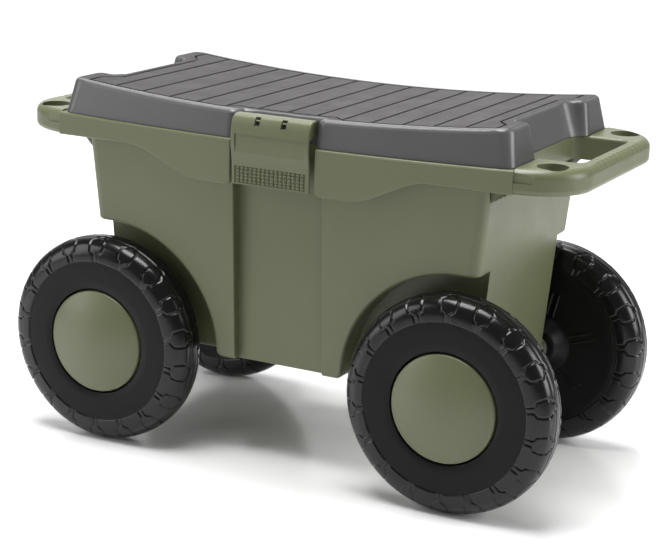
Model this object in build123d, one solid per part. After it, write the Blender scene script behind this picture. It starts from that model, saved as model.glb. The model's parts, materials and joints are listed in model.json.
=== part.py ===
from build123d import *
import os
from math import sqrt

os.makedirs("parts", exist_ok=True)

# A rolling garden seat with a storage tub. The ground is z = 0, +X is the right-hand handle,
# -Y is the side with the latch. All sizes are millimetres.

# Overall and wheels
LENGTH = 568.0          # over both handles
WHEEL_R = 100.0
AXLE_X = 182.4          # each axle's distance from the middle
AXLE_Z = WHEEL_R
TYRE_IN = 94.0          # |y| of a wheel's inner and outer faces
TYRE_OUT = 132.5
CAP_R = 49.5
CAP_RIM = 133.2
CAP_TOP = 143.0
POCKET_FLOOR = 122.0    # |y| of the floor that a hub cap stands on
AXLE_R = 5.0
AXLE_END = 131.0
RUN_GAP = 0.06          # radial clearance of every running fit

# Tub
WALL = 3.0
FLOOR_Z = 97.4
RIM_MID_Z = 310.8       # rim height at the middle and at the ends
RIM_END_Z = 315.0
TUB_X_LOW, TUB_Y_LOW = 188.4, 102.0     # half sizes at the floor
TUB_DRAFT_X, TUB_DRAFT_Y = 0.0885, 0.0435
TUB_CORNER = 10.0
ARCH_R = 116.0
ARCH_TOP_Z = 213.4
ARCH_Y = 80.0           # |y| of the wall behind a wheel
ARCH_ROUND = 3.0
FOOT_ROUND = 6.0
FLOOR_ROUND = 4.0
BAND_ROUND, RIM_ROUND = 1.5, 2.0
BAND_Y = 120.0          # outer face of the raised band below the lid
BAND_END_Z, BAND_MID_Z = 293.8, 268.4
BAND_GAP_X = 43.0       # half width of the gap for the latch
RECESS_X, RECESS_ROUND = 46.0, 1.2

# Handles
HANDLE_TOP, HANDLE_UNDER = 316.5, 294.0
ARM_TOP_ROUND, ARM_FOOT_ROUND = 8.0, 5.0
ARM_WALL = 5.5          # wall round the pocket under the arm
ARM_START_X = 222.0     # where the outline leaves the band's plane
ARM_STRAIGHT_Y = 70.0   # half length of the bar's straight stretch
HAND_X0, HAND_X1, HAND_Y = 216.0, 269.0, 61.0
TOOL_X, TOOL_Y, TOOL_R = 255.0, 91.0, 13.75
ARM_POCKET_Z = 312.0

# Lid
LID_X, LID_Y = 229.5, 117.2             # half sizes at LID_LOW_Z
LID_CORNER, LID_CORNER_TOP = 8.0, 14.0    # upright corner radius at the rim and at the top
LID_END_ROUND = 8.0     # edges between the lid's ends and their notches
LEDGE_X = LID_X + 1.5   # where the band under the lid ends and the handle's arm starts
LID_LOW_Z, LID_HIGH_Z = 311.0, 356.0
LID_DRAFT_X, LID_DRAFT_Y = 0.17, 0.17
LID_GAP = 0.5                           # lid edge above the tub's rim
SEAT_MID_Z, SEAT_END_Z, SEAT_END_X = 335.4, 349.5, 240.0
SLAT_PITCH, SLAT_GROOVES = 29.77, 13
GROOVE_W, GROOVE_D = 3.0, 2.2
PANEL_Y = 104.0
NOTCH_X, NOTCH_WALL_Y = 40.8, 99.0       # half width and back wall of the lid's latch notch
NOTCH_ROUND, LID_ROUND = 8.0, 4.5
RIB_T = 2.0             # ribs under the lid
CROSS_RIBS_X = (-150, -90, -30, 30, 90, 150)
LONG_RIBS_Y = (-50, 50)

# Hinge and latch
HINGE_X, HINGE_Y, HINGE_Z = 110.0, 125.5, 314.5
KNUCKLE_R, PIN_R = 4.5, 2.0
KNUCKLE_W, LUG_W, LUG_GAP = 18.0, 7.0, 0.6
LATCH_X, LATCH_T = 39.8, 2.0
LATCH_ROUND = 1.2
BAR_Y, BAR_Z, BAR_R = -108.5, 326.5, 2.0
HOOK_X, HOOK_W, HOOK_R = 13.5, 4.0, 3.9
HOOK_MOUTH_Y, HOOK_MOUTH_Z = 0.9, 1.4    # where the hook's mouth starts, and half its height
SLOT_X = 2.7            # half width of the latch's slot round a hook
SLOT_LOW_Z, SLOT_HIGH_Z = 325.6, 333.6
PLATE_X, PLATE_Y = 35.5, -124.4         # sunk panel on the latch
PLATE_LOW_Z, PLATE_HIGH_Z = 300.8, 317.5
GRIP_X, GRIP_Y = 36.5, -121.6           # sunk field below it for the fingers
GRIP_LOW_Z, GRIP_HIGH_Z = 272.5, 288.0
LIP_X, LIP_Y = 24.0, -117.3             # lip inside the latch, below the keeper
LIP_LOW_Z, LIP_HIGH_Z = 281.2, 284.4
KEEPER_X, KEEPER_Y = 26.0, -116.8       # ledge on the tub that the lip passes
KEEPER_LOW_Z, KEEPER_HIGH_Z = 285.5, 291.5
CHEEK_W = 2.4


def arc_z(mid_z, end_z, end_x, x):
    """Height at x of a shallow bow that is mid_z at the middle and end_z at end_x."""
    return mid_z + (end_z - mid_z) * (x / end_x) ** 2


def bow(mid_z, end_z, end_x, x):
    """The bow as an arc from -x to x in the XZ plane."""
    side = arc_z(mid_z, end_z, end_x, x)
    return ThreePointArc((-x, side), (0, mid_z), (x, side))


def outline_face(plane, edges):
    """The face inside a closed outline drawn on a plane."""
    return make_face([plane * edge for edge in edges])


def upright(edges, half_depth, middle=0.0):
    """A closed XZ outline, extruded along Y about y = middle."""
    face = outline_face(Plane.XZ, edges)
    return Pos(0, middle, 0) * extrude(face, half_depth, both=True)


def crosswise(points, half_width, middle=0.0):
    """A closed YZ polygon, extruded along X about x = middle."""
    face = outline_face(Plane.YZ, [Polyline(*points, close=True)])
    return Pos(middle, 0, 0) * extrude(face, half_width, both=True)


def box(x0, x1, y0, y1, z0, z1):
    return Pos((x0 + x1) / 2, (y0 + y1) / 2, (z0 + z1) / 2) * Box(x1 - x0, y1 - y0, z1 - z0)


def rod_x(radius, length, x, y, z):
    return Pos(x, y, z) * Rot(0, 90, 0) * Cylinder(radius, length)


def rod_y(radius, length, x, y, z):
    return Pos(x, y, z) * Rot(90, 0, 0) * Cylinder(radius, length)


def tub_block(inset, z0, z1):
    """The tub's drafted block between two heights, with its faces inset."""
    sections = []
    for z in (z0, z1):
        half_x = TUB_X_LOW + TUB_DRAFT_X * (z - FLOOR_Z) - inset
        half_y = TUB_Y_LOW + TUB_DRAFT_Y * (z - FLOOR_Z) - inset
        outline = RectangleRounded(2 * half_x, 2 * half_y, TUB_CORNER - inset)
        sections.append(Pos(0, 0, z) * outline)
    return loft(sections, ruled=True)


def arches(grow):
    """The four wheel arches as solids to cut away, grown by a wall's thickness inside."""
    cuts = []
    for x_side in (-1, 1):
        for y_side in (-1, 1):
            middle_y = y_side * (ARCH_Y - grow + 40)
            round_part = rod_y(ARCH_R + grow, 80, x_side * AXLE_X, middle_y, FLOOR_Z)
            x0, x1 = sorted((x_side * AXLE_X, x_side * 260))
            y0, y1 = middle_y - 40, middle_y + 40
            cuts.append(round_part + box(x0, x1, y0, y1, 60, ARCH_TOP_Z + grow))
    return cuts


def recess(half_x, inset, z_top):
    """The shallow upright channel in the latch side, to cut away."""
    low_y, high_y = -94.0 + inset, -99.3 + inset
    slope = (high_y - low_y) / (RIM_END_Z - FLOOR_Z)
    return crosswise(
        [(low_y - slope * 20, FLOOR_Z - 20), (low_y + slope * (z_top - FLOOR_Z), z_top),
         (-140, z_top), (-140, FLOOR_Z - 20)], half_x)


def band_outline(half_x, lift, top):
    """The band's XZ outline: a bowed or flat top and an S-curve on each side of the middle."""
    end_z, mid_z = BAND_END_Z + lift, BAND_MID_Z + lift
    outer, inner = 155.0, 75.0
    top_edge = bow(RIM_MID_Z, RIM_END_Z, LID_X, half_x) if top is None else Line(
        (-half_x, top), (half_x, top))
    side_z = arc_z(RIM_MID_Z, RIM_END_Z, LID_X, half_x) if top is None else top
    return [
        top_edge,
        Line((half_x, side_z), (half_x, end_z)),
        Line((half_x, end_z), (outer, end_z)),
        Bezier((outer, end_z), (outer - 27, end_z), (inner + 30, mid_z), (inner, mid_z)),
        Line((inner, mid_z), (-inner, mid_z)),
        Bezier((-inner, mid_z), (-inner - 30, mid_z), (-outer + 27, end_z), (-outer, end_z)),
        Line((-outer, end_z), (-half_x, end_z)),
        Line((-half_x, end_z), (-half_x, side_z)),
    ]


def handle_outline(inset, x_from):
    """Plan of the right-hand handle: band width, narrowing in an elliptical corner to the bar."""
    end = LENGTH / 2 - inset
    side = BAND_Y - inset
    start = (ARM_START_X, -side)
    corner = (end, -ARM_STRAIGHT_Y)
    radii = (end - ARM_START_X, side - ARM_STRAIGHT_Y)
    centre = (ARM_START_X, -ARM_STRAIGHT_Y)
    lower = EllipticalCenterArc(centre, *radii, start_angle=270, arc_size=90)
    upper = EllipticalCenterArc((centre[0], -centre[1]), *radii, start_angle=0, arc_size=90)
    return make_face([
        Line((x_from, -side), start), lower, Line(corner, (end, ARM_STRAIGHT_Y)), upper,
        Line((ARM_START_X, side), (x_from, side)), Line((x_from, side), (x_from, -side))])


def latch_gap():
    """The space in the band for the latch, its lower corners flared to round the band's."""
    flare = 6.0
    low, high = BAND_MID_Z, BAND_MID_Z + flare
    wide, narrow = BAND_GAP_X + flare, BAND_GAP_X
    bend = flare / sqrt(2)
    edges = [Line((-narrow, 330), (narrow, 330)), Line((-wide, low - 20), (wide, low - 20))]
    for side in (-1, 1):
        edges += [Line((side * narrow, high), (side * narrow, 330)),
                  ThreePointArc((side * narrow, high), (side * (wide - bend), high - bend),
                                (side * wide, low)),
                  Line((side * wide, low), (side * wide, low - 20))]
    return upright(edges, 20.35, -119.65)


def hand_opening():
    """The right-hand handle's finger opening, to cut away."""
    outline = RectangleRounded(HAND_X1 - HAND_X0, 2 * HAND_Y, 8)
    return extrude(Pos((HAND_X0 + HAND_X1) / 2, 0, 270) * outline, 60)


def in_hand_opening(edge):
    """True for the edges round the finger opening."""
    middle = edge @ 0.5
    return abs(middle.Y) < HAND_Y + 0.1 and middle.X < HAND_X1 + 0.1


def on_arm_outside(edge):
    """True for the edges round the outside of a handle's arm and bar."""
    return not in_hand_opening(edge) and (edge @ 0.5).X > LEDGE_X + 0.1


def handle_blank():
    """One handle, right-hand end, before it is hollowed from below."""
    blank = extrude(Pos(0, 0, HANDLE_UNDER) * handle_outline(0, 200), HANDLE_TOP - HANDLE_UNDER)
    blank -= hand_opening() + box(180, LEDGE_X, -130, 130, 280, 330)
    top = blank.faces().sort_by(Axis.Z)[-1]
    blank = fillet(top.edges().filter_by(on_arm_outside), ARM_TOP_ROUND)
    foot = blank.faces().sort_by(Axis.Z)[0]
    blank = fillet(foot.edges().filter_by(on_arm_outside), ARM_FOOT_ROUND)
    top = blank.faces().sort_by(Axis.Z)[-1]
    blank = fillet(top.edges().filter_by(in_hand_opening).filter_by(
        lambda e: (e @ 0.5).X > LEDGE_X + 0.1), 3.5)
    # shallow step where the arm's upper half sits in from the band
    for side in (-1, 1):
        step = make_face(Polyline((LID_X, side * 124), (LID_X, side * 118.2),
                                  (247, side * 115.6), (247, side * 124), close=True))
        blank -= extrude(Pos(0, 0, 304.5) * step, 20)
        blank -= Pos(TOOL_X, side * TOOL_Y, 300) * Cylinder(TOOL_R, 60)
    return blank - grip_scallops()


def grip_scallops():
    """Shallow finger scallops across the bar's top and the round beside it."""
    radius, depth = 12.0, 0.7
    reach = radius - depth
    end, corner = LENGTH / 2, ARM_TOP_ROUND
    middle_x, middle_z = end - corner, HANDLE_TOP - corner
    lift = corner + reach
    cuts = []
    for i in range(11):
        y = (i - 5) * 10.0
        cuts.append(rod_x(radius, 12, middle_x - 4, y, middle_z + lift))
        for angle in (30, 60):
            turn = Pos(middle_x, y, middle_z) * Rot(0, angle, 0) * Pos(0, 0, lift)
            cuts.append(turn * Rot(0, 90, 0) * Cylinder(radius, 6))
    return cuts


def handle_hollow():
    """The space under one handle, leaving a rim wall, a collar round each tool hole and webs."""
    plan = handle_outline(ARM_WALL, 204.5)
    plan -= Pos((HAND_X0 - WALL + HAND_X1 + WALL) / 2, 0) * RectangleRounded(
        HAND_X1 - HAND_X0 + 2 * WALL, 2 * (HAND_Y + WALL), 8 + WALL)
    for side in (-1, 1):
        plan -= Pos(TOOL_X, side * TOOL_Y) * Circle(TOOL_R + WALL)
    plan -= Pos(200, 0) * Rectangle(20, 2 * (HAND_Y + WALL))
    return extrude(Pos(0, 0, 270) * plan, ARM_POCKET_Z - 270)


def ear_webs():
    """Triangular webs that carry one end's ledge on the tub's end wall."""
    webs = []
    for side in (-1, 1):
        for y in (70, 80, 90, 100):
            outline = Polyline((204, 279.5), (218, HANDLE_UNDER), (218, ARM_POCKET_Z + 0.5),
                               (204, ARM_POCKET_Z + 0.5), close=True)
            webs.append(upright([outline], 1.0, side * y))
    return webs


def hinge_lug(middle_x, half_width):
    """A tub lug that holds one end of a hinge pin."""
    web = crosswise([(BAND_Y - 0.5, 298), (BAND_Y - 0.5, 312), (HINGE_Y, HINGE_Z + KNUCKLE_R),
                     (HINGE_Y + KNUCKLE_R, HINGE_Z)], half_width, middle_x)
    return web + rod_x(KNUCKLE_R, 2 * half_width, middle_x, HINGE_Y, HINGE_Z)


def lug_places(x_side):
    """The middles of the two lugs of one hinge."""
    reach = KNUCKLE_W / 2 + LUG_GAP + LUG_W / 2
    return [x_side * HINGE_X - reach, x_side * HINGE_X + reach]


def on_arch_foot(edge):
    """True for the edges where the wheel arches meet the floor."""
    return abs(abs(edge.center().X) - AXLE_X + ARCH_R) < 0.5


def on_arch_mouth(edge):
    """True for the outer edges of the wheel arches in the tub's side and end walls."""
    middle = edge @ 0.5
    x, y, z = abs(middle.X), abs(middle.Y), middle.Z
    side_y = TUB_Y_LOW + TUB_DRAFT_Y * (z - FLOOR_Z)
    on_side = abs(y - side_y) < 0.2
    on_round = abs(sqrt((x - AXLE_X) ** 2 + (z - FLOOR_Z) ** 2) - ARCH_R) < 0.2
    on_roof = abs(z - ARCH_TOP_Z) < 0.1 and x > AXLE_X
    on_edge = y > ARCH_Y + 2 and on_roof
    return (on_side and on_round) or on_edge


def on_recess_mouth(edge):
    """True for the two upright edges between the latch side and its recess."""
    middle = edge @ 0.5
    side_y = TUB_Y_LOW + TUB_DRAFT_Y * (middle.Z - FLOOR_Z)
    on_corner = abs(abs(middle.X) - RECESS_X) < 0.1 and abs(middle.Y + side_y) < 0.2
    return on_corner and edge.length > 50


def is_band_foot(edge):
    """True for the lower and latch-side edges of the band's outer face."""
    middle = edge @ 0.5
    return middle.Z < 304 and abs(middle.X) < LEDGE_X - 1


def is_rim(edge):
    """True for the upper outer edges of the band."""
    middle = edge @ 0.5
    return middle.Z > 308 and edge.length > 50


def make_tub():
    body = tub_block(0, FLOOR_Z, 309)
    for cut in arches(0):
        body -= cut
    body = fillet(body.edges().filter_by(Axis.Y).filter_by(on_arch_foot), FOOT_ROUND)
    body = fillet(body.edges().filter_by(on_arch_mouth), ARCH_ROUND)
    body = fillet(body.faces().sort_by(Axis.Z)[0].outer_wire().edges(), FLOOR_ROUND)
    body -= recess(RECESS_X, 0, 320)
    body = fillet(body.edges().filter_by(on_recess_mouth), RECESS_ROUND)
    band = upright(band_outline(LEDGE_X, 0, None), BAND_Y)
    band -= latch_gap()
    for side in (0, 180):
        band -= Rot(0, 0, side) * hand_opening()
    for choose, radius in ((is_rim, RIM_ROUND), (is_band_foot, BAND_ROUND)):
        edges = [edge for face in band.faces() if abs(abs(face.center().Y) - BAND_Y) < 0.1
                 for edge in face.edges() if choose(edge)]
        band = fillet(edges, radius)
    body += band
    for side in (0, 180):
        body += Rot(0, 0, side) * handle_blank()

    cavity = tub_block(WALL, FLOOR_Z + WALL, 320)
    for cut in arches(WALL):
        cavity -= cut
    cavity -= recess(RECESS_X + WALL, WALL, 330)
    under_rim = RIM_MID_Z - 4
    wide = upright(band_outline(202, WALL, under_rim), BAND_Y - WALL)
    wide -= box(-RECESS_X - WALL, RECESS_X + WALL, -140, -96, 200, 330)
    mouth = Pos(0, 0, 318) * extrude(RectangleRounded(396, 218, 10), 20, both=True)
    mouth -= recess(RECESS_X + WALL, WALL + 3, 345)
    cavity = (cavity & box(-250, 250, -150, 150, 90, under_rim)) + wide + mouth
    body -= cavity
    for side in (0, 180):
        body -= Rot(0, 0, side) * handle_hollow()
        for web in ear_webs():
            body += Rot(0, 0, side) * web

    for x_side in (-1, 1):
        body += rod_y(9, 2 * ARCH_Y, x_side * AXLE_X, 0, AXLE_Z)
        body -= rod_y(AXLE_R + 0.05, 200, x_side * AXLE_X, 0, AXLE_Z)
        for x in lug_places(x_side):
            body += hinge_lug(x, LUG_W / 2)
        body -= rod_x(PIN_R + 0.02, 60, x_side * HINGE_X, HINGE_Y, HINGE_Z)
    # keeper that the latch snaps over
    body += box(-KEEPER_X, KEEPER_X, KEEPER_Y, -96, KEEPER_LOW_Z, KEEPER_HIGH_Z)
    return body


def seat_arc(drop, x):
    return bow(SEAT_MID_Z - drop, SEAT_END_Z - drop, SEAT_END_X, x)


def lid_profile(drop, low_mid, low_end):
    """XZ outline between the seat's bow, lowered by drop, and the lid's lower bow."""
    x = 236.0
    top_z = arc_z(SEAT_MID_Z, SEAT_END_Z, SEAT_END_X, x) - drop
    low_z = arc_z(low_mid, low_end, LID_X, x)
    return [seat_arc(drop, x), Line((x, top_z), (x, low_z)), bow(low_mid, low_end, LID_X, x),
            Line((-x, low_z), (-x, top_z))]


def lid_block(inset):
    """The drafted block that bounds the lid, with rounded upright corners."""
    sections = []
    for z, corner in ((LID_LOW_Z - 10, LID_CORNER), (LID_HIGH_Z, LID_CORNER_TOP)):
        half_x = LID_X - LID_DRAFT_X * (z - LID_LOW_Z) - inset
        half_y = LID_Y - LID_DRAFT_Y * (z - LID_LOW_Z) - inset
        sections.append(Pos(0, 0, z) * RectangleRounded(2 * half_x, 2 * half_y, corner - inset))
    return loft(sections, ruled=True)


def end_notch(grow):
    """The drafted notch in the lid's right-hand end, to cut away."""
    sections = []
    for z, wall_x, half_y in ((300.0, 220.5, 59.5), (360.0, 198.5, 66.5)):
        width = 90.0
        outline = RectangleRounded(width + 2 * grow, 2 * (half_y + grow), 14 + grow)
        sections.append(Pos(wall_x + width / 2, 0, z) * outline)
    return loft(sections, ruled=True)


def lid_shape(inset, drop, low_mid, low_end):
    shape = upright(lid_profile(drop, low_mid, low_end), 135) & lid_block(inset)
    for side in (0, 180):
        shape -= Rot(0, 0, side) * end_notch(inset)
    beside_notch = [e for e in shape.edges() if e.length > 15 and 58 < abs((e @ 0.5).Y) < 72
                    and abs((e @ 0.5).X) > LID_X - 12 and abs(e.tangent_at(0.5).Z) > 0.9]
    return fillet(beside_notch, LID_END_ROUND - inset)


def panel_plan(inset):
    """Plan outline of the slatted panel."""
    right = [(209 - inset, -PANEL_Y + inset), (209.5 - inset, -84), (197 - inset, -66),
             (197 - inset, 66), (209.5 - inset, 84), (209 - inset, PANEL_Y - inset)]
    left = [(-x, -y) for x, y in right]
    latch = [(-62, -PANEL_Y + inset), (-50, -93 + inset), (50, -93 + inset),
             (62, -PANEL_Y + inset)]
    return make_face(Polyline(*right, *left, *latch, close=True))


def seat_grooves():
    """The grooves round and between the slats, a constant depth under the bowed seat."""
    plan = panel_plan(0) - panel_plan(GROOVE_W)
    slot = Rectangle(GROOVE_W, 260)
    middle = (SLAT_GROOVES - 1) / 2
    slots = Sketch() + [Pos((i - middle) * SLAT_PITCH, 0) * slot for i in range(SLAT_GROOVES)]
    plan += slots & panel_plan(GROOVE_W / 2)
    x = 236.0
    side = arc_z(SEAT_MID_Z, SEAT_END_Z, SEAT_END_X, x) - GROOVE_D
    skin = upright([seat_arc(GROOVE_D, x), Line((x, side), (x, 370)), Line((x, 370), (-x, 370)),
                    Line((-x, 370), (-x, side))], 130)
    return extrude(Pos(0, 0, 320) * plan, 45) & skin


def make_lid():
    low_mid, low_end = RIM_MID_Z + LID_GAP, RIM_END_Z + LID_GAP
    lid = lid_shape(0, 0, low_mid, low_end)
    lid -= box(-NOTCH_X, NOTCH_X, -140, -NOTCH_WALL_Y, 290, 360)
    mouth_edges = lid.edges().filter_by(
        lambda e: abs(abs(e.center().X) - NOTCH_X) < 0.2 and e.center().Y < -111
        and abs(e.center().Z - 323) < 5 and e.length > 15)
    lid = fillet(mouth_edges, NOTCH_ROUND)
    top = lid.faces().filter_by(GeomType.CYLINDER).sort_by(Axis.Z)
    top = max(top, key=lambda f: f.area if f.center().Z > 330 else 0)
    lid = fillet(top.outer_wire().edges(), LID_ROUND)

    hollow = lid_shape(WALL, WALL + GROOVE_D, low_mid - 8, low_end - 8)
    hollow -= box(-NOTCH_X - WALL, NOTCH_X + WALL, -140, -NOTCH_WALL_Y + WALL, 290, 360)
    lid -= hollow
    # underside ribs
    ribs = [box(x - RIB_T / 2, x + RIB_T / 2, -114, 114, 319, 350) for x in CROSS_RIBS_X]
    ribs += [box(-215, 215, y - RIB_T / 2, y + RIB_T / 2, 321, 350) for y in LONG_RIBS_Y]
    for rib in ribs:
        lid += rib & hollow
    lid -= seat_grooves()
    for side in (-1, 1):
        knuckle = crosswise([(112, 315.2), (112, 321), (HINGE_Y, HINGE_Z + KNUCKLE_R),
                             (HINGE_Y, 312.6)], KNUCKLE_W / 2, side * HINGE_X)
        knuckle += rod_x(KNUCKLE_R, KNUCKLE_W, side * HINGE_X, HINGE_Y, HINGE_Z)
        lid += knuckle - hollow
        lid -= rod_x(PIN_R + RUN_GAP, 60, side * HINGE_X, HINGE_Y, HINGE_Z)
        lid += latch_hook(side * HOOK_X)
    return lid


def latch_hook(x):
    """A C-shaped hook on the lid that holds the latch's bar; its mouth faces outwards."""
    arm = crosswise([(BAR_Y + 1.2, BAR_Z - 3.2), (BAR_Y + 3.2, BAR_Z - 1.0),
                     (-NOTCH_WALL_Y + 1, 321.5), (-NOTCH_WALL_Y + 1, 316.0)], HOOK_W / 2, x)
    hook = arm + rod_x(HOOK_R, HOOK_W, x, BAR_Y, BAR_Z)
    hook -= rod_x(BAR_R + RUN_GAP, 20, x, BAR_Y, BAR_Z)
    return hook - box(x - HOOK_W, x + HOOK_W, BAR_Y - 2 * HOOK_R, BAR_Y - HOOK_MOUTH_Y,
                      BAR_Z - HOOK_MOUTH_Z, BAR_Z + HOOK_MOUTH_Z)


def latch_curve():
    """The latch's outer side view, from its upper edge down to its finger grip."""
    return Spline((-110.5, 334.8), (-116, 334.6), (-120.6, 332.8), (-123.2, 328.8), (-124.8, 321),
                  (-125.6, 313), (-125.3, 306), (-124.2, 299.5), (-123.2, 292), (-122.7, 284),
                  (-122.4, 271))


def latch_inner_points(curve, depth, steps):
    """Points at a depth behind the curve, towards the tub."""
    points = []
    for i in range(steps + 1):
        place = curve @ (i / steps)
        along = curve % (i / steps)
        points.append((place.X - along.Y * depth, place.Y + along.X * depth))
    return points


def make_latch():
    outer = latch_curve()
    inner = Spline(*latch_inner_points(outer, LATCH_T, 10))
    shell = outline_face(Plane.YZ, [outer, Line(outer @ 1, inner @ 1), inner,
                                    Line(inner @ 0, outer @ 0)])
    latch = extrude(shell, LATCH_X, both=True)
    side_edges = [e for e in latch.edges() if abs(abs(e.center().X) - LATCH_X) < 0.1
                  and e.length > 50 and e.center().Y < -124.4]
    latch = fillet(side_edges, LATCH_ROUND)
    # side cheeks that carry the bar
    back = Polyline(outer @ 0, (-104.8, 331), (-104.8, 322), (-121.5, 317.6), (-124.3, 312),
                    (-123.0, 300), (-121.8, 288), outer @ 1)
    cheek = extrude(outline_face(Plane.YZ, [outer, back]), CHEEK_W / 2, both=True)
    for side in (-1, 1):
        latch += Pos(side * (LATCH_X - CHEEK_W), 0, 0) * cheek
    latch += rod_x(BAR_R, 2 * LATCH_X - 2, 0, BAR_Y, BAR_Z)
    # inner lip that snaps past the keeper
    latch += box(-LIP_X, LIP_X, GRIP_Y, LIP_Y, LIP_LOW_Z, LIP_HIGH_Z)
    for side in (-1, 1):
        x = side * HOOK_X
        slot = box(x - SLOT_X, x + SLOT_X, -128, BAR_Y + 1.6, SLOT_LOW_Z, SLOT_HIGH_Z)
        latch -= slot - rod_x(BAR_R, 10, x, BAR_Y, BAR_Z)
    # sunk panel and sunk grip field
    latch -= box(-PLATE_X, PLATE_X, -130, PLATE_Y, PLATE_LOW_Z, PLATE_HIGH_Z)
    latch -= box(-GRIP_X, GRIP_X, -130, GRIP_Y, GRIP_LOW_Z, GRIP_HIGH_Z)
    return latch


def shoulder(width, height, low_r, steps):
    """Points of a wheel's crowned section, a superellipse from inner to outer shoulder."""
    middle = (TYRE_IN + TYRE_OUT) / 2
    points = []
    for i in range(1, steps):
        t = 1 - 2 * i / steps
        u = -(abs(t) ** 0.8) * (1 if t > 0 else -1)
        points.append((low_r + height * (1 - abs(u) ** 2.6) ** (1 / 2.6), middle + width * u))
    return points


def turned(edges):
    """A closed outline of (radius, y) turned about the Y axis."""
    return revolve(make_face(edges), Axis.Y)


def make_wheel():
    """A blow-moulded wheel on the +Y side, its axis on the Y axis."""
    half = (TYRE_OUT - TYRE_IN) / 2
    low_r = 78.5
    crown = shoulder(half, WHEEL_R - low_r, low_r, 12)
    bore = AXLE_R + RUN_GAP
    skin = Spline((low_r, TYRE_IN), *crown, (low_r, TYRE_OUT), tangents=((1, -0.05), (-1, -0.05)))
    body = turned([
        skin,
        Polyline((low_r, TYRE_OUT), (51.2, TYRE_OUT), (51.0, POCKET_FLOOR), (12, POCKET_FLOOR),
                 (12, 125.5), (bore, 125.5), (bore, 82.2), (18, 82.2), (27.5, TYRE_IN + 1),
                 (60, TYRE_IN + 2.2), (low_r, TYRE_IN))])
    middle = (TYRE_IN + TYRE_OUT) / 2
    body -= turned([
        Spline((74, 98.2), (92, 101.5), (96.6, middle), (92, 125.2), (74, 129), tangents=(
            (1, 0), (-1, 0))),
        Polyline((74, 129), (55, 129), (55, POCKET_FLOOR - WALL), (16, POCKET_FLOOR - WALL),
                 (16, 99), (60, 99.4), (74, 98.2))])
    # blow hole, hidden under the hub cap
    body -= rod_y(4, 12, 0, POCKET_FLOOR, 30)
    # long grooves either side of the tread's middle
    for offset in (-3.2, 3.2):
        ring = Pos(0, middle + offset, 0) * Rot(90, 0, 0)
        body -= ring * (Cylinder(WHEEL_R + 2, 1.4) - Cylinder(WHEEL_R - 1.6, 1.4))
    return body


def make_hub_cap():
    """A domed cap with a skirt that grips the wheel's pocket."""
    rise = CAP_TOP - CAP_RIM
    dome_r = (CAP_R ** 2 + rise ** 2) / (2 * rise)
    centre = Pos(0, CAP_TOP - dome_r, 0)
    depth = CAP_TOP - POCKET_FLOOR
    middle = (CAP_TOP + POCKET_FLOOR) / 2
    cap = rod_y(CAP_R, depth, 0, middle, 0) & centre * Sphere(dome_r)
    cap += rod_y(50.9, 3, 0, POCKET_FLOOR + 1.5, 0)
    return cap - (rod_y(CAP_R - 2.5, depth, 0, middle, 0) & centre * Sphere(dome_r - 2.5))


def make_washer(y0, y1, radius):
    ring = Cylinder(radius, y1 - y0) - Cylinder(AXLE_R + 0.1, y1 - y0)
    return Pos(0, (y0 + y1) / 2, 0) * Rot(90, 0, 0) * ring


def make_push_nut():
    """A domed push-on nut with a plain flange."""
    grip = AXLE_R + 0.02
    return turned([Polyline((grip, 127.4), (10.5, 127.4), (10.5, 128.4), (7.6, 128.4),
                            (7.0, 130.6), (grip, 130.6), (grip, 127.4))])


def make_axle():
    rod = rod_y(AXLE_R, 2 * AXLE_END, 0, 0, 0)
    return chamfer(rod.edges(), 0.8)


def make_hinge_pin():
    length = KNUCKLE_W + 2 * (LUG_GAP + LUG_W) + 1.6
    pin = rod_x(PIN_R, length, 0, HINGE_Y, HINGE_Z)
    for side in (-1, 1):
        pin += rod_x(3.4, 1.2, side * (length / 2 + 0.6), HINGE_Y, HINGE_Z)
    return pin


def at_corner(solid, x_side, y_side):
    """Copies a +Y wheel part to one of the four corners."""
    turn = Rot(0, 0, 0 if y_side > 0 else 180)
    return Pos(x_side * AXLE_X, 0, AXLE_Z) * turn * solid


parts = {"tub": make_tub(), "lid": make_lid(), "latch": make_latch()}
for side_name, x_side in (("left", -1), ("right", 1)):
    parts[f"axle_{side_name}"] = Pos(x_side * AXLE_X, 0, AXLE_Z) * make_axle()
    parts[f"hinge_pin_{side_name}"] = Pos(x_side * HINGE_X, 0, 0) * make_hinge_pin()
    for row_name, y_side in (("front", -1), ("rear", 1)):
        corner = f"{row_name}_{side_name}"
        pieces = {
            "wheel": make_wheel(),
            "hub_cap": make_hub_cap(),
            "push_nut": make_push_nut(),
            "inner_washer": make_washer(80.5, 81.7, 12),
            "outer_washer": make_washer(125.9, 127.0, 10.5),
        }
        for kind, solid in pieces.items():
            parts[f"{kind}_{corner}"] = at_corner(solid, x_side, y_side)

for node, solid in parts.items():
    export_step(solid, f"parts/{node}.step")
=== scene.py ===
import json
from math import cos, pi, radians, sin

import bmesh
import bpy
import numpy as np
from mathutils import Matrix, Vector


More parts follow.
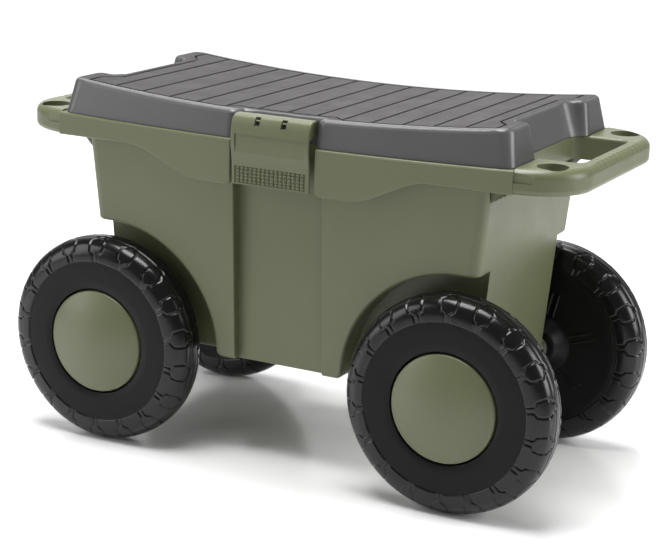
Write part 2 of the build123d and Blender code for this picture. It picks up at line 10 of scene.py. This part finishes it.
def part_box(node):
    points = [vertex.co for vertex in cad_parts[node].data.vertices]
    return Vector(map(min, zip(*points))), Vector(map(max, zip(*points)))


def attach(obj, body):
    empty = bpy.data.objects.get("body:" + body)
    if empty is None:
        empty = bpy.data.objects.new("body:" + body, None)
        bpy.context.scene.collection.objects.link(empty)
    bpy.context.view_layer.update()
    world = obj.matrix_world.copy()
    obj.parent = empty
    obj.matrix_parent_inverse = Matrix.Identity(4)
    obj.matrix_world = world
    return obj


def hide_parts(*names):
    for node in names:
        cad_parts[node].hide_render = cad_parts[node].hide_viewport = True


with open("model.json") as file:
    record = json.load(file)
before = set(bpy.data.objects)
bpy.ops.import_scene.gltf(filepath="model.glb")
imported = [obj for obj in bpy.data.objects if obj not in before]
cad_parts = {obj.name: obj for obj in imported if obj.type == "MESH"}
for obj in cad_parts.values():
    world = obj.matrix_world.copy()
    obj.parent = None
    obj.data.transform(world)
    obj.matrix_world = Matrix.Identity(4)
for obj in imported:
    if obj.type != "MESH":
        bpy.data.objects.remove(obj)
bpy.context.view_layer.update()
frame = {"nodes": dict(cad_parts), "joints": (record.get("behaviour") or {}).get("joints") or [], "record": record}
MM = 0.001

# Where the wheels turn, from the frame
JOINTS = {joint["name"]: joint for joint in frame["joints"]}
CORNERS = ("front_left", "front_right", "rear_left", "rear_right")


# ---------------------------------------------------------------- node helpers

class Nodes:
    """Short calls for building one material's node tree."""

    def __init__(self, name):
        self.material = bpy.data.materials.new(name)
        self.material.use_nodes = True
        self.tree = self.material.node_tree
        self.shader = self.tree.nodes["Principled BSDF"]
        self.coords = self.add("ShaderNodeTexCoord").outputs["Object"]

    def add(self, kind, **settings):
        node = self.tree.nodes.new(kind)
        for key, value in settings.items():
            setattr(node, key, value)
        return node

    def link(self, source, target):
        if isinstance(source, (int, float)):
            target.default_value = source
        else:
            self.tree.links.new(source, target)

    def math(self, operation, a, b=0.0, c=0.0):
        node = self.add("ShaderNodeMath", operation=operation)
        for value, socket in zip((a, b, c), node.inputs):
            self.link(value, socket)
        return node.outputs[0]

    def noise(self, scale, detail=4.0, rough=0.55, stretch=(1, 1, 1), distortion=0.0):
        mapping = self.add("ShaderNodeMapping")
        mapping.inputs["Scale"].default_value = stretch
        self.link(self.coords, mapping.inputs["Vector"])
        node = self.add("ShaderNodeTexNoise")
        self.link(mapping.outputs[0], node.inputs["Vector"])
        node.inputs["Scale"].default_value = scale
        node.inputs["Detail"].default_value = detail
        node.inputs["Roughness"].default_value = rough
        node.inputs["Distortion"].default_value = distortion
        return node.outputs["Fac"]

    def ramp(self, value, low, high, out_low=0.0, out_high=1.0):
        node = self.add("ShaderNodeMapRange", clamp=True)
        for key, number in zip(range(1, 5), (low, high, out_low, out_high)):
            node.inputs[key].default_value = number
        self.link(value, node.inputs[0])
        return node.outputs[0]

    def mix(self, factor, a, b):
        node = self.add("ShaderNodeMix", data_type="RGBA")
        self.link(factor, node.inputs["Factor"])
        for value, socket in ((a, node.inputs[6]), (b, node.inputs[7])):
            if isinstance(value, tuple):
                socket.default_value = (*value, 1)
            else:
                self.link(value, socket)
        return node.outputs[2]

    def bump(self, height, distance, strength=1.0, below=None):
        node = self.add("ShaderNodeBump")
        node.inputs["Distance"].default_value = distance
        node.inputs["Strength"].default_value = strength
        self.link(height, node.inputs["Height"])
        if below is not None:
            self.link(below, node.inputs["Normal"])
        return node.outputs[0]

    def set(self, **sockets):
        for key, value in sockets.items():
            socket = self.shader.inputs[key.replace("_", " ")]
            if isinstance(value, tuple):
                socket.default_value = (*value, 1)
            else:
                self.link(value, socket)
        return self.material


def shade(colour, factor):
    return tuple(min(1.0, channel * factor) for channel in colour)


# ---------------------------------------------------------------- materials

GREEN = (0.108, 0.117, 0.061)
GREY = (0.075, 0.074, 0.077)
SLAT_GREY = (0.034, 0.031, 0.032)
BLACK = (0.0065, 0.0062, 0.0062)
DUST = (0.014, 0.0135, 0.0135)

# Where the lid's slats are, in metres
SEAT_LOW = 0.0147       # the grooves' floors at the middle, below the lid's highest point
SEAT_BOW = 0.25         # how fast the bowed seat rises with the square of the distance along it
PANEL_HALF_WIDTH = 0.1045
FACES_UP = 0.95         # least upward part of a slat's normal


def moulded_colour(n, colour, spread=0.06):
    """Slow flow marks and a fine speckle, as in a moulding coloured in the melt."""
    slow = n.noise(14, 3, 0.5, (1, 1, 0.55))
    fine = n.noise(900, 2, 0.6)
    tone = n.math("ADD", n.math("MULTIPLY", slow, 0.75), n.math("MULTIPLY", fine, 0.25))
    return n.mix(tone, shade(colour, 1 - spread), shade(colour, 1 + spread))


def green_plastic():
    """Satin olive moulding, faintly scuffed."""
    n = Nodes("green_plastic")
    colour = moulded_colour(n, GREEN)
    scuff = n.ramp(n.noise(60, 6, 0.7, (1, 1, 6)), 0.60, 0.80, 0, 0.25)
    colour = n.mix(scuff, colour, shade(GREEN, 1.18))
    rough = n.ramp(n.noise(35, 5, 0.6), 0.3, 0.75, 0.33, 0.43)
    texture = n.bump(n.noise(2600, 2, 0.5), 0.00005, 0.35)
    wave = n.bump(n.noise(22, 2, 0.4), 0.0004, 0.10, texture)
    return n.set(Base_Color=colour, Roughness=rough, Normal=wave, Specular_IOR_Level=0.45)


def grey_plastic():
    """Dark grey moulding, with a brushed wood-like grain along the slats on top."""
    n = Nodes("grey_plastic")
    normal = n.add("ShaderNodeSeparateXYZ")
    n.link(n.add("ShaderNodeNewGeometry").outputs["Normal"], normal.inputs[0])
    place = n.add("ShaderNodeSeparateXYZ")
    n.link(n.coords, place.inputs[0])
    # the slatted top: faces that look up from the slats or from the grooves between them
    along, across, height = place.outputs
    low_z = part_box("lid")[1].z - SEAT_LOW
    bowed = n.math("MULTIPLY_ADD", n.math("MULTIPLY", along, along), SEAT_BOW, low_z)
    top = n.math("GREATER_THAN", height, bowed)
    panel = n.math("LESS_THAN", n.math("ABSOLUTE", across), PANEL_HALF_WIDTH)
    upward = n.math("GREATER_THAN", normal.outputs[2], FACES_UP)
    slats = n.math("MULTIPLY", n.math("MULTIPLY", top, panel), upward)
    grain = n.noise(420, 6, 0.62, (1.0, 0.035, 0.5))
    streak = n.noise(130, 5, 0.6, (1.0, 0.05, 0.5), 0.3)
    wood = n.mix(n.ramp(grain, 0.3, 0.72), shade(SLAT_GREY, 0.80), shade(SLAT_GREY, 1.20))
    wood = n.mix(n.ramp(streak, 0.42, 0.75, 0, 0.5), wood, shade(SLAT_GREY, 1.30))
    plain = moulded_colour(n, GREY, 0.08)
    colour = n.mix(slats, plain, wood)
    plain_rough = n.ramp(n.noise(30, 5, 0.6), 0.3, 0.75, 0.30, 0.40)
    rough = n.math("MULTIPLY_ADD", slats, 0.10, plain_rough)
    relief = n.math("MULTIPLY", grain, slats)
    texture = n.bump(n.noise(2200, 2, 0.5), 0.00005, 0.30)
    brushed = n.bump(relief, 0.0004, 0.45, texture)
    shine = n.math("MULTIPLY_ADD", slats, -0.40, 0.50)
    return n.set(Base_Color=colour, Roughness=rough, Normal=brushed, Specular_IOR_Level=shine)


def black_plastic():
    """Black blow moulding, with a little dust on its flat faces."""
    n = Nodes("black_plastic")
    colour = moulded_colour(n, BLACK, 0.15)
    dust = n.ramp(n.noise(90, 6, 0.7), 0.55, 0.85, 0, 0.30)
    colour = n.mix(dust, colour, DUST)
    # the tyre's tread is polished by its mould, and the flat faces are finely textured
    tread = n.add("ShaderNodeAttribute", attribute_name="tread").outputs["Fac"]
    flat_rough = n.ramp(n.noise(40, 5, 0.65), 0.3, 0.75, 0.34, 0.44)
    rough = n.math("MULTIPLY_ADD", tread, -0.17, flat_rough)
    shine = n.math("MULTIPLY_ADD", tread, 0.19, 0.14)
    texture = n.bump(n.noise(1500, 2, 0.5), 0.00006, 0.35)
    wave = n.bump(n.noise(45, 3, 0.5), 0.0005, 0.18, texture)
    return n.set(Base_Color=colour, Roughness=rough, Normal=wave, Specular_IOR_Level=shine)


def zinc_steel():
    """Zinc-plated steel with a spangle and fine drawn scratches."""
    n = Nodes("zinc_steel")
    spangle = n.noise(160, 4, 0.6)
    colour = n.mix(spangle, (0.42, 0.43, 0.45), (0.62, 0.63, 0.66))
    rough = n.ramp(n.noise(300, 4, 0.6, (1, 0.1, 1)), 0.3, 0.7, 0.24, 0.42)
    scratches = n.bump(n.noise(900, 3, 0.6, (1, 0.06, 1)), 0.00008, 0.4)
    n.shader.inputs["Metallic"].default_value = 1.0
    return n.set(Base_Color=colour, Roughness=rough, Normal=scratches)


MATERIALS = {
    "green_plastic": green_plastic(),
    "grey_plastic": grey_plastic(),
    "black_plastic": black_plastic(),
    "zinc_steel": zinc_steel(),
}
for part in frame["record"]["subparts"]:
    node = frame["nodes"][part["node"]]
    node.data.materials.clear()
    node.data.materials.append(MATERIALS[part["material_slot"]])


# ---------------------------------------------------------------- mesh helpers

def new_piece(name, verts, faces, slot):
    mesh = bpy.data.meshes.new(name)
    mesh.from_pydata([tuple(v) for v in verts], [], faces)
    mesh.validate()
    mesh.materials.append(MATERIALS[slot])
    for polygon in mesh.polygons:
        polygon.use_smooth = True
    piece = bpy.data.objects.new(name, mesh)
    bpy.context.scene.collection.objects.link(piece)
    return piece


def band_faces(below, above, columns):
    """Quads round a band between two closed rings, given each ring's first point."""
    faces = []
    for column in range(columns):
        after = (column + 1) % columns
        faces.append((below + column, below + after, above + after, above + column))
    return faces


def ring_faces(rows, columns):
    """Quads of a closed torus-like grid of rows by columns."""
    faces = []
    for row in range(rows):
        faces += band_faces(row * columns, ((row + 1) % rows) * columns, columns)
    return faces


# ---------------------------------------------------------------- wheels

# All sizes in this section are in millimetres
PITCHES = 18            # tread blocks round a wheel
COLUMNS = PITCHES * 40
TREAD_ROWS = 84
TYRE_R = 100.0
TYRE_IN, TYRE_OUT = 94.0, 132.5         # |y| of the inner and outer sidewalls
TREAD_LOW_R = 78.5      # where the tread starts on either sidewall
CROWN_POWER = 2 / 2.6   # a superellipse a little squarer than a circle
STEP = 0.8              # how far the tread blocks stand above the sidewall
KEY_HALF_WIDTH, KEY_DEPTH = 0.40, 1.1
RIB_HALF_WIDTH, RIB_DEPTH = 0.50, 1.2
BORE_R = 5.1
INNER_RIBS = 6          # pairs of short ribs on the inner face
WHEEL_TURNS = (0, 0, 7, 13)             # degrees that each wheel has rolled, by corner
CAP_R, CAP_TOP, CAP_RISE = 49.5, 143.0, 9.8
CAP_DOME_R = 48.6       # where the dome meets the rounded rim
CAP_T = 2.5
CAP_HOLLOW_R = 47.0
CAP_COLUMNS = 160
RIB_LINE = 29.5         # distance in from the sidewall of the line beside the middle rib
# half outline of the raised key between two blocks: (round the wheel, in from the sidewall)
KEY = ((2.6, 0.0), (2.6, 7.5), (6.8, 10.5), (8.4, 22.0), (4.0, 26.5), (4.0, RIB_LINE))


def crown_line(count):
    """Evenly spaced (radius, y) points over the crowned tread, from outside to inside."""
    middle = (TYRE_IN + TYRE_OUT) / 2
    half = (TYRE_OUT - TYRE_IN) / 2 + STEP
    height = TYRE_R - TREAD_LOW_R
    t = np.linspace(0, pi, 4001)
    y = middle + half * np.sign(np.cos(t)) * np.abs(np.cos(t)) ** CROWN_POWER
    r = TREAD_LOW_R + height * np.abs(np.sin(t)) ** CROWN_POWER
    length = np.concatenate(([0], np.cumsum(np.hypot(np.diff(r), np.diff(y)))))
    wanted = np.linspace(0, length[-1], count)
    return np.interp(wanted, length, r), np.interp(wanted, length, y), wanted


def segment_distance(u, w, start, end):
    """Distance from every (u, w) to one straight groove."""
    (u0, w0), (u1, w1) = start, end
    du, dw = u1 - u0, w1 - w0
    t = np.clip(((u - u0) * du + (w - w0) * dw) / (du * du + dw * dw), 0, 1)
    return np.hypot(u - u0 - t * du, w - w0 - t * dw)


def groove(distance, half_width, depth, soft=0.55):
    """Depth of a soft-edged groove at a distance from its middle."""
    t = np.clip((distance - half_width) / soft, 0, 1)
    return depth * (1 - t * t * (3 - 2 * t))


def half_tread(u, w):
    """Sunken depth over one half of the tread. u runs round the wheel, w from the sidewall in."""
    stem_x, stem_end = KEY[1]
    ramp = np.clip(1 - w / stem_end, 0, 1) * STEP
    sunk = np.where(np.abs(u) < stem_x, ramp, 0)
    for side in (-1, 1):
        corners = [(side * x, y) for x, y in KEY]
        for start, end in zip(corners, corners[1:]):
            sunk = np.maximum(sunk, groove(
                segment_distance(u, w, start, end), KEY_HALF_WIDTH, KEY_DEPTH))
    rib_jog = RIB_LINE + 1.5 * np.clip(1.6 - np.abs(u) / 3.0, 0, 1)
    return np.maximum(sunk, groove(np.abs(w - rib_jog), RIB_HALF_WIDTH, RIB_DEPTH))


def tread_depth(theta, radius, w, total):
    """Sunken depth over the whole tread; the two halves are half a pitch apart."""
    pitch = 2 * pi / PITCHES
    outer = ((theta + pitch / 2) % pitch - pitch / 2) * radius
    inner = (theta % pitch - pitch / 2) * radius
    return np.where(w < total / 2, half_tread(outer, w), half_tread(inner, total - w))


def inner_face_ribs(theta, radius):
    """Raised pairs of short ribs round the boss on a wheel's inner face."""
    spacing = 2 * pi / INNER_RIBS
    u = ((theta + spacing / 2) % spacing - spacing / 2) * radius
    side = np.abs(np.abs(u) - 3.4)
    across = np.clip(1.6 - side, 0, 1)
    along = np.clip((radius - 30) / 2, 0, 1) * np.clip((55 - radius) / 2, 0, 1)
    return 1.3 * across * along


def wheel_mesh():
    """One wheel turned about the Y axis, outside towards +Y."""
    theta = np.linspace(0, 2 * pi, COLUMNS, endpoint=False)
    r, y, w = crown_line(TREAD_ROWS)
    normal_r, normal_y = np.gradient(y), -np.gradient(r)
    size = np.hypot(normal_r, normal_y)
    # the crown is walked from +Y to -Y, so the outward normal is (-dy, dr) turned
    normal_r, normal_y = -normal_r / size, -normal_y / size
    rows = []
    for i in range(TREAD_ROWS):
        sunk = tread_depth(theta, r[i], np.full(COLUMNS, w[i]), w[-1])
        rows.append((r[i] - normal_r[i] * sunk, y[i] - normal_y[i] * sunk))
    dish = [(TREAD_LOW_R - 0.4, TYRE_IN + 0.1), (76.5, TYRE_IN + 0.9), (72, TYRE_IN + 1.5)]
    dish += [(radius, TYRE_IN + 2.0) for radius in np.linspace(66, 30, 24)]
    boss = [(28.0, TYRE_IN + 1.2), (26.5, TYRE_IN - 0.4), (24.5, 91.0), (22.0, 87.6),
            (20.0, 84.6), (18.8, 82.8), (18.0, 82.2), (BORE_R, 82.2)]
    for radius, depth in dish + boss:
        ring_r = np.full(COLUMNS, radius)
        rise = inner_face_ribs(theta, ring_r) if radius < 60 else 0
        rows.append((ring_r, depth - rise + 0 * ring_r))
    hub = [(BORE_R, 125.5), (11.6, 125.5), (12.0, 125.1), (12.0, 122.3), (12.4, 122.0),
           (50.6, 122.0), (51.0, 122.5), (51.3, 131.4), (51.6, 132.1), (52.4, 132.5),
           (60, 132.55), (68, 132.6), (TREAD_LOW_R - 1.2, 132.5), (TREAD_LOW_R - 0.3, 132.4)]
    for radius, depth in hub:
        rows.append((np.full(COLUMNS, radius), np.full(COLUMNS, depth)))
    verts = np.array([np.stack([ring_r * np.sin(theta), ring_y + 0 * theta,
                                ring_r * np.cos(theta)], 1) for ring_r, ring_y in rows])
    return verts.reshape(-1, 3) * MM, ring_faces(len(rows), COLUMNS)


def lathe(profile, columns):
    """A closed skin turned about Y from (radius, y) points in millimetres, ends on the axis."""
    verts, faces = [], []
    for radius, y in profile[1:-1]:
        for column in range(columns):
            angle = 2 * pi * column / columns
            verts.append((radius * sin(angle) * MM, y * MM, radius * cos(angle) * MM))
    rows = len(profile) - 2
    for row in range(rows - 1):
        faces += band_faces(row * columns, (row + 1) * columns, columns)
    for end, row in ((profile[0], 0), (profile[-1], rows - 1)):
        verts.append((0, end[1] * MM, 0))
        tip = len(verts) - 1
        for column in range(columns):
            after = (column + 1) % columns
            first, second = row * columns + column, row * columns + after
            faces.append((tip, second, first) if row == 0 else (tip, first, second))
    return verts, faces


def hub_cap_mesh():
    """A shallow dome with a rounded rim and a thin skirt."""
    dome_r = (CAP_R ** 2 + CAP_RISE ** 2) / (2 * CAP_RISE)
    centre = CAP_TOP - dome_r

    def dome(radius, sphere_r):
        return radius, centre + (sphere_r ** 2 - radius ** 2) ** 0.5

    outside = [dome(CAP_DOME_R * i / 24, dome_r) for i in range(25)]
    rim = [(49.15, 133.1), (49.45, 132.6), (CAP_R, 132.0), (CAP_R, 126.0), (50.8, 125.0),
           (50.8, 122.05), (47.2, 122.05), (CAP_HOLLOW_R, 122.4), (CAP_HOLLOW_R, 131.2)]
    inside = [dome(CAP_HOLLOW_R * (1 - i / 12), dome_r - CAP_T) for i in range(1, 13)]
    return lathe(outside + rim + inside, CAP_COLUMNS)


def outward(piece):
    """Turns every face of a closed piece outwards."""
    work = bmesh.new()
    work.from_mesh(piece.data)
    bmesh.ops.recalc_face_normals(work, faces=work.faces)
    work.to_mesh(piece.data)
    work.free()


def mark_tread(piece):
    """Marks the tread's points, which are the first ones, for the material."""
    tread = piece.data.attributes.new("tread", "FLOAT", "POINT")
    for point in range(TREAD_ROWS * COLUMNS):
        tread.data[point].value = 1.0


def place_wheels():
    """A moulded wheel and a domed cap at each corner, in place of the plain ones."""
    wheel_verts, wheel_faces = wheel_mesh()
    cap_verts, cap_faces = hub_cap_mesh()
    for index, corner in enumerate(CORNERS):
        hub = Vector(JOINTS[f"wheel_spin_{corner}"]["pos_m"])
        turn = Matrix.Rotation(0 if hub.y > 0 else pi, 4, "Z")
        place = Matrix.Translation((hub.x, 0, hub.z)) @ turn
        rolled = Matrix.Rotation(radians(WHEEL_TURNS[index]), 4, "Y")
        for kind, verts, faces, slot in (
                ("wheel", wheel_verts, wheel_faces, "black_plastic"),
                ("hub_cap", cap_verts, cap_faces, "green_plastic")):
            piece = new_piece(f"{kind}_{corner}_moulding", verts, faces, slot)
            if kind == "wheel":
                mark_tread(piece)
            outward(piece)
            piece.data.transform(place @ rolled if kind == "wheel" else place)
            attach(piece, f"wheel_{corner}_body")
            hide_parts(f"{kind}_{corner}")


place_wheels()


# ---------------------------------------------------------------- latch grip

# Millimetres
GRIP_COLUMNS, GRIP_ROWS = 16, 5
GRIP_PITCH_X, GRIP_PITCH_Z = 4.4, 3.1
GRIP_FLOOR_Y = -121.7
GRIP_FOOT = 3.4         # the lowest row above the latch's foot
# rounded pad, from its foot up: half its width, half its height and how far it stands out
PAD_LEVELS = ((1.45, 1.15, 0.0), (1.35, 1.05, 0.75), (1.05, 0.75, 1.05), (0.5, 0.35, 1.15))


def grip_bumps():
    """The field of small raised pads in the sunk grip at the latch's foot."""
    low_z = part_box("latch")[0].z / MM + GRIP_FOOT
    verts, faces = [], []
    for column in range(GRIP_COLUMNS):
        for row in range(GRIP_ROWS):
            x = (column - (GRIP_COLUMNS - 1) / 2) * GRIP_PITCH_X
            z = low_z + row * GRIP_PITCH_Z
            start = len(verts)
            for half_x, half_z, rise in PAD_LEVELS:
                for sx, sz in ((-1, -1), (1, -1), (1, 1), (-1, 1)):
                    verts.append(((x + sx * half_x) * MM, (GRIP_FLOOR_Y - rise) * MM,
                                  (z + sz * half_z) * MM))
            top = start + 4 * (len(PAD_LEVELS) - 1)
            for ring in range(start, top, 4):
                faces += band_faces(ring, ring + 4, 4)
            faces.append((start + 3, start + 2, start + 1, start))
            faces.append((top, top + 1, top + 2, top + 3))
    piece = new_piece("latch_grip_pads", verts, faces, "green_plastic")
    outward(piece)
    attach(piece, "latch_flap")


grip_bumps()


# ---------------------------------------------------------------- stage, light, camera

FLOOR_HALF_WIDTH = 6.0
FLOOR_FRONT, FLOOR_BACK = -4.0, 2.2
BACKDROP_BEND = 1.6     # radius of the curve from the floor up into the backdrop
BACKDROP_TOP = 6.0
FLOOR_DROP = 0.0002     # the floor lies this far under the tyres

CAMERA_AZIMUTH, CAMERA_ELEVATION, CAMERA_ROLL = 27.547, 15.329, 1.621
CAMERA_DISTANCE = 1.77414
CAMERA_TARGET = Vector((0.00564, 0.0, 0.15916))
CAMERA_LENS, CAMERA_SENSOR = 98.66, 36.0
WORLD_STRENGTH = 0.12


def stage_floor():
    """A pale floor that curves up into a backdrop behind the object."""
    verts, faces = [], []
    profile = [(FLOOR_FRONT, 0.0), (FLOOR_BACK, 0.0)]
    for degrees in range(6, 91, 6):
        angle = radians(degrees)
        profile.append((FLOOR_BACK + BACKDROP_BEND * sin(angle),
                        BACKDROP_BEND - BACKDROP_BEND * cos(angle)))
    profile.append((FLOOR_BACK + BACKDROP_BEND, BACKDROP_TOP))
    turn = Matrix.Rotation(radians(CAMERA_AZIMUTH), 4, "Z")
    for y, z in profile:
        for x in (-FLOOR_HALF_WIDTH, FLOOR_HALF_WIDTH):
            verts.append(turn @ Vector((x, y, z - FLOOR_DROP)))
    for first in range(0, len(verts) - 2, 2):
        faces.append((first, first + 1, first + 3, first + 2))
    mesh = bpy.data.meshes.new("floor")
    mesh.from_pydata([tuple(v) for v in verts], [], faces)
    for polygon in mesh.polygons:
        polygon.use_smooth = True
    floor = bpy.data.objects.new("floor", mesh)
    bpy.context.scene.collection.objects.link(floor)
    n = Nodes("pale_floor")
    tone = n.mix(n.noise(3, 2, 0.5), (0.90, 0.90, 0.90), (0.92, 0.92, 0.92))
    rough = n.ramp(n.noise(8, 3, 0.5), 0.3, 0.7, 0.16, 0.20)
    mesh.materials.append(n.set(Base_Color=tone, Roughness=rough, Specular_IOR_Level=0.35))


def add_camera():
    """The camera at the angle of the reference view."""
    azimuth, elevation, roll = map(radians, (CAMERA_AZIMUTH, CAMERA_ELEVATION, CAMERA_ROLL))
    back = Vector((sin(azimuth) * cos(elevation), -cos(azimuth) * cos(elevation), sin(elevation)))
    level = Vector((cos(azimuth), sin(azimuth), 0))
    upward = back.cross(level)
    right = level * cos(roll) + upward * sin(roll)
    up = upward * cos(roll) - level * sin(roll)
    data = bpy.data.cameras.new("camera")
    data.lens = CAMERA_LENS
    data.sensor_width = CAMERA_SENSOR
    camera = bpy.data.objects.new("camera", data)
    bpy.context.scene.collection.objects.link(camera)
    turn = Matrix((right, up, back)).transposed().to_4x4()
    camera.matrix_world = Matrix.Translation(CAMERA_TARGET + back * CAMERA_DISTANCE) @ turn
    bpy.context.scene.camera = camera


def add_softbox(name, place, aim, size, power):
    """A rectangular light of a size in metres and a power in watts, turned to face a point."""
    data = bpy.data.lights.new(name, "AREA")
    data.shape = "RECTANGLE"
    data.size, data.size_y = size
    data.energy = power
    light = bpy.data.objects.new(name, data)
    bpy.context.scene.collection.objects.link(light)
    place = Vector(place)
    light.location = place
    light.rotation_euler = (Vector(aim) - place).to_track_quat("-Z", "Y").to_euler()


def add_light():
    """Large soft lights above, left, right and on the backdrop, and a dim even world."""
    add_softbox("top_softbox", (-0.2, -0.1, 2.4), (0, 0, 0.1), (1.8, 1.3), 100)
    add_softbox("left_softbox", (-1.5, -1.2, 0.8), (0, 0, 0.2), (0.9, 1.4), 14.5)
    add_softbox("right_softbox", (2.0, 0.3, 0.9), (0, 0, 0.25), (0.9, 1.3), 30)
    add_softbox("backdrop_light", (-1.6, 2.2, 3.2), (-1.9, 3.6, 0.8), (3.0, 1.0), 60)
    world = bpy.data.worlds.new("studio")
    world.use_nodes = True
    background = world.node_tree.nodes["Background"]
    background.inputs["Color"].default_value = (1, 1, 1, 1)
    background.inputs["Strength"].default_value = WORLD_STRENGTH
    bpy.context.scene.world = world


stage_floor()
add_camera()
add_light()
bpy.context.scene.view_settings.view_transform = "Standard"
